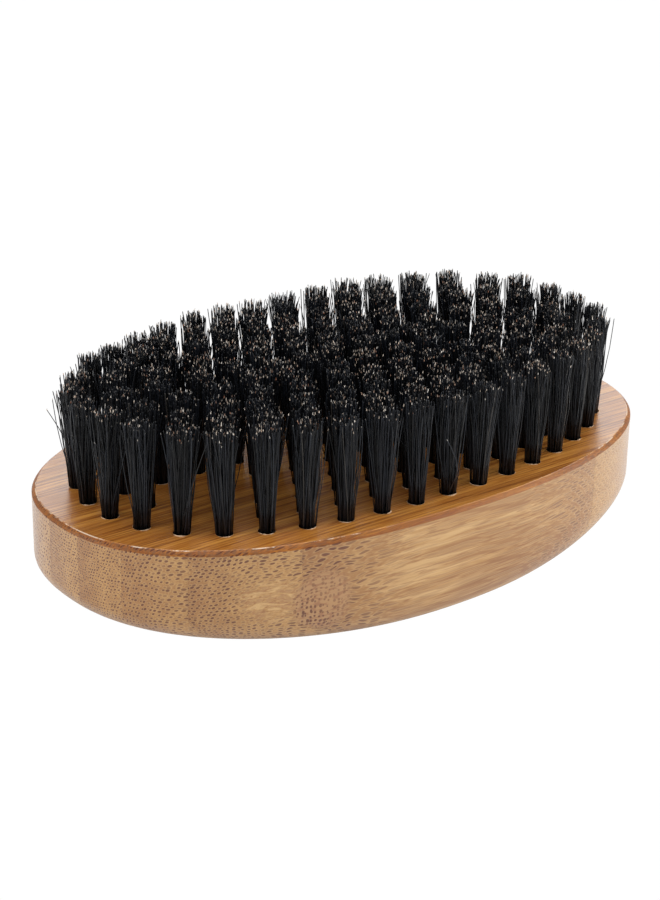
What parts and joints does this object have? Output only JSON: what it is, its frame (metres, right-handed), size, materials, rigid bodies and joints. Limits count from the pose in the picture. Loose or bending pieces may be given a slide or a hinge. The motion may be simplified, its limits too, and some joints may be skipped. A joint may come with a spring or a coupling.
{
  "type": "beard brush",
  "caption": "Oval palm brush for beards: a laminated bamboo block with a domed back, filled with dark bristle tufts set in rings.",
  "frame": {"origin": "middle of the flat land on the block's back, at the bottom centre of the whole brush", "axes": "+X along the oval block, +Y across it, +Z from the back through the face, along the bristles"},
  "size_m": [0.11, 0.064, 0.035],
  "materials": {
    "bamboo": "clear satin lacquer over carbonised bamboo, end-grain dots and long fibre streaks",
    "bristle": "black boar bristle with a faint sheen and pale split tips",
    "anchor_wire": "flat tinned steel wire"
  },
  "bodies": {
    "root": {"lamella_1": "bamboo", "lamella_2": "bamboo", "lamella_3": "bamboo", "lamella_4": "bamboo", "lamella_5": "bamboo", "lamella_6": "bamboo", "lamella_7": "bamboo", "lamella_8": "bamboo", "lamella_9": "bamboo", "tufts_ring_1_front": "bristle", "tufts_ring_1_back": "bristle", "tufts_ring_2_front": "bristle", "tufts_ring_2_back": "bristle", "tufts_ring_3_front": "bristle", "tufts_ring_3_back": "bristle", "tufts_inner_front": "bristle", "tufts_inner_back": "bristle", "tufts_centre": "bristle", "anchors_ring_1": "anchor_wire", "anchors_ring_2": "anchor_wire", "anchors_ring_3": "anchor_wire", "anchors_inner": "anchor_wire", "anchors_centre": "anchor_wire"}
  },
  "joints": []
}
